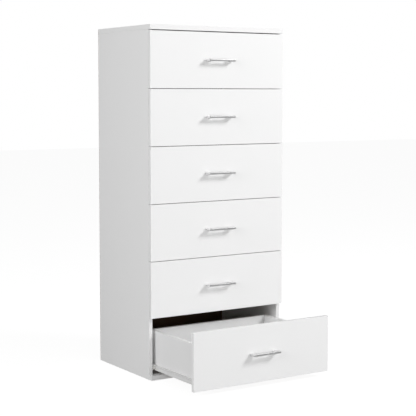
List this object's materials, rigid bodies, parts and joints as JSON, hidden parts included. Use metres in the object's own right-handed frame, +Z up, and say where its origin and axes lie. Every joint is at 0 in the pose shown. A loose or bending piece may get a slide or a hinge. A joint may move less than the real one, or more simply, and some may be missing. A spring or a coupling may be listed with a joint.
{
  "type": "tall chest of drawers",
  "caption": "Tall narrow chest of drawers in white board, with bar handles and drawers on roller runners.",
  "frame": {"origin": "centre of the cabinet's footprint, on the floor under the bottom panel", "axes": "+Z up, the drawer fronts face -Y and the drawers pull out along -Y, X runs from the chest's left side at -X to its right side at +X"},
  "size_m": [0.5, 0.6116, 1.1],
  "materials": {
    "front_board": "white melamine-faced board, satin, drawer fronts",
    "cabinet_board": "white melamine-faced board, satin, cabinet",
    "drawer_board": "white foil-wrapped board, satin, drawer boxes",
    "hardboard": "thin brown hardboard; the drawer bottoms are lacquered white on top",
    "runner_steel": "white epoxy-coated steel",
    "nylon": "white nylon",
    "handle_metal": "satin",
    "zinc_fastener": "zinc-plated",
    "beech": "raw beech"
  },
  "bodies": {
    "cabinet": {"top_panel": "cabinet_board", "bottom_panel": "cabinet_board", "left_side_panel": "cabinet_board", "right_side_panel": "cabinet_board", "back_panel": "hardboard", "left_cabinet_runners": "runner_steel", "right_cabinet_runners": "runner_steel", "runner_screws": "zinc_fastener", "cam_locks": "zinc_fastener", "cam_bolts": "zinc_fastener", "wooden_dowels": "beech", "back_panel_nails": "zinc_fastener"},
    "drawer_1": {"drawer_1_front": "front_board", "drawer_1_sides": "drawer_board", "drawer_1_back": "drawer_board", "drawer_1_bottom": "hardboard", "drawer_1_handle": "handle_metal", "drawer_1_fittings": "runner_steel"},
    "drawer_1_rear_rollers": {"drawer_1_rear_rollers": "nylon"},
    "drawer_1_front_rollers": {"drawer_1_front_rollers": "nylon"},
    "drawer_2": {"drawer_2_front": "front_board", "drawer_2_sides": "drawer_board", "drawer_2_back": "drawer_board", "drawer_2_bottom": "hardboard", "drawer_2_handle": "handle_metal", "drawer_2_fittings": "runner_steel"},
    "drawer_2_rear_rollers": {"drawer_2_rear_rollers": "nylon"},
    "drawer_2_front_rollers": {"drawer_2_front_rollers": "nylon"},
    "drawer_3": {"drawer_3_front": "front_board", "drawer_3_sides": "drawer_board", "drawer_3_back": "drawer_board", "drawer_3_bottom": "hardboard", "drawer_3_handle": "handle_metal", "drawer_3_fittings": "runner_steel"},
    "drawer_3_rear_rollers": {"drawer_3_rear_rollers": "nylon"},
    "drawer_3_front_rollers": {"drawer_3_front_rollers": "nylon"},
    "drawer_4": {"drawer_4_front": "front_board", "drawer_4_sides": "drawer_board", "drawer_4_back": "drawer_board", "drawer_4_bottom": "hardboard", "drawer_4_handle": "handle_metal", "drawer_4_fittings": "runner_steel"},
    "drawer_4_rear_rollers": {"drawer_4_rear_rollers": "nylon"},
    "drawer_4_front_rollers": {"drawer_4_front_rollers": "nylon"},
    "drawer_5": {"drawer_5_front": "front_board", "drawer_5_sides": "drawer_board", "drawer_5_back": "drawer_board", "drawer_5_bottom": "hardboard", "drawer_5_handle": "handle_metal", "drawer_5_fittings": "runner_steel"},
    "drawer_5_rear_rollers": {"drawer_5_rear_rollers": "nylon"},
    "drawer_5_front_rollers": {"drawer_5_front_rollers": "nylon"},
    "drawer_6": {"drawer_6_front": "front_board", "drawer_6_sides": "drawer_board", "drawer_6_back": "drawer_board", "drawer_6_bottom": "hardboard", "drawer_6_handle": "handle_metal", "drawer_6_fittings": "runner_steel"},
    "drawer_6_rear_rollers": {"drawer_6_rear_rollers": "nylon"},
    "drawer_6_front_rollers": {"drawer_6_front_rollers": "nylon"}
  },
  "joints": [
    {"name": "drawer_1_slide", "type": "slide", "parent": "cabinet", "child": "drawer_1", "axis": [0, -1, 0], "range_m": [0, 0.26]},
    {"name": "drawer_1_front_rollers_spin", "type": "hinge", "parent": "cabinet", "child": "drawer_1_front_rollers", "pos_m": [0, -0.148, 0.9257], "axis": [1, 0, 0], "continuous": true},
    {"name": "drawer_1_rear_rollers_spin", "type": "hinge", "parent": "drawer_1", "child": "drawer_1_rear_rollers", "pos_m": [0, 0.133, 0.9252], "axis": [1, 0, 0], "continuous": true},
    {"name": "drawer_2_slide", "type": "slide", "parent": "cabinet", "child": "drawer_2", "axis": [0, -1, 0], "range_m": [0, 0.26]},
    {"name": "drawer_2_front_rollers_spin", "type": "hinge", "parent": "cabinet", "child": "drawer_2_front_rollers", "pos_m": [0, -0.148, 0.7479], "axis": [1, 0, 0], "continuous": true},
    {"name": "drawer_2_rear_rollers_spin", "type": "hinge", "parent": "drawer_2", "child": "drawer_2_rear_rollers", "pos_m": [0, 0.133, 0.7474], "axis": [1, 0, 0], "continuous": true},
    {"name": "drawer_3_slide", "type": "slide", "parent": "cabinet", "child": "drawer_3", "axis": [0, -1, 0], "range_m": [0, 0.26]},
    {"name": "drawer_3_front_rollers_spin", "type": "hinge", "parent": "cabinet", "child": "drawer_3_front_rollers", "pos_m": [0, -0.148, 0.5701], "axis": [1, 0, 0], "continuous": true},
    {"name": "drawer_3_rear_rollers_spin", "type": "hinge", "parent": "drawer_3", "child": "drawer_3_rear_rollers", "pos_m": [0, 0.133, 0.5696], "axis": [1, 0, 0], "continuous": true},
    {"name": "drawer_4_slide", "type": "slide", "parent": "cabinet", "child": "drawer_4", "axis": [0, -1, 0], "range_m": [0, 0.26]},
    {"name": "drawer_4_front_rollers_spin", "type": "hinge", "parent": "cabinet", "child": "drawer_4_front_rollers", "pos_m": [0, -0.148, 0.3923], "axis": [1, 0, 0], "continuous": true},
    {"name": "drawer_4_rear_rollers_spin", "type": "hinge", "parent": "drawer_4", "child": "drawer_4_rear_rollers", "pos_m": [0, 0.133, 0.3918], "axis": [1, 0, 0], "continuous": true},
    {"name": "drawer_5_slide", "type": "slide", "parent": "cabinet", "child": "drawer_5", "axis": [0, -1, 0], "range_m": [0, 0.26]},
    {"name": "drawer_5_front_rollers_spin", "type": "hinge", "parent": "cabinet", "child": "drawer_5_front_rollers", "pos_m": [0, -0.148, 0.2145], "axis": [1, 0, 0], "continuous": true},
    {"name": "drawer_5_rear_rollers_spin", "type": "hinge", "parent": "drawer_5", "child": "drawer_5_rear_rollers", "pos_m": [0, 0.133, 0.214], "axis": [1, 0, 0], "continuous": true},
    {"name": "drawer_6_slide", "type": "slide", "parent": "cabinet", "child": "drawer_6", "axis": [0, -1, 0], "range_m": [-0.246, 0.014]},
    {"name": "drawer_6_front_rollers_spin", "type": "hinge", "parent": "cabinet", "child": "drawer_6_front_rollers", "pos_m": [0, -0.148, 0.0367], "axis": [1, 0, 0], "continuous": true},
    {"name": "drawer_6_rear_rollers_spin", "type": "hinge", "parent": "drawer_6", "child": "drawer_6_rear_rollers", "pos_m": [0, -0.113, 0.0362], "axis": [1, 0, 0], "continuous": true}
  ],
  "couplings": [
    {"joint": "drawer_1_front_rollers_spin", "follows": "drawer_1_slide", "rad_per_m": 125},
    {"joint": "drawer_1_rear_rollers_spin", "follows": "drawer_1_slide", "rad_per_m": 125},
    {"joint": "drawer_2_front_rollers_spin", "follows": "drawer_2_slide", "rad_per_m": 125},
    {"joint": "drawer_2_rear_rollers_spin", "follows": "drawer_2_slide", "rad_per_m": 125},
    {"joint": "drawer_3_front_rollers_spin", "follows": "drawer_3_slide", "rad_per_m": 125},
    {"joint": "drawer_3_rear_rollers_spin", "follows": "drawer_3_slide", "rad_per_m": 125},
    {"joint": "drawer_4_front_rollers_spin", "follows": "drawer_4_slide", "rad_per_m": 125},
    {"joint": "drawer_4_rear_rollers_spin", "follows": "drawer_4_slide", "rad_per_m": 125},
    {"joint": "drawer_5_front_rollers_spin", "follows": "drawer_5_slide", "rad_per_m": 125},
    {"joint": "drawer_5_rear_rollers_spin", "follows": "drawer_5_slide", "rad_per_m": 125},
    {"joint": "drawer_6_front_rollers_spin", "follows": "drawer_6_slide", "rad_per_m": 125},
    {"joint": "drawer_6_rear_rollers_spin", "follows": "drawer_6_slide", "rad_per_m": 125}
  ]
}
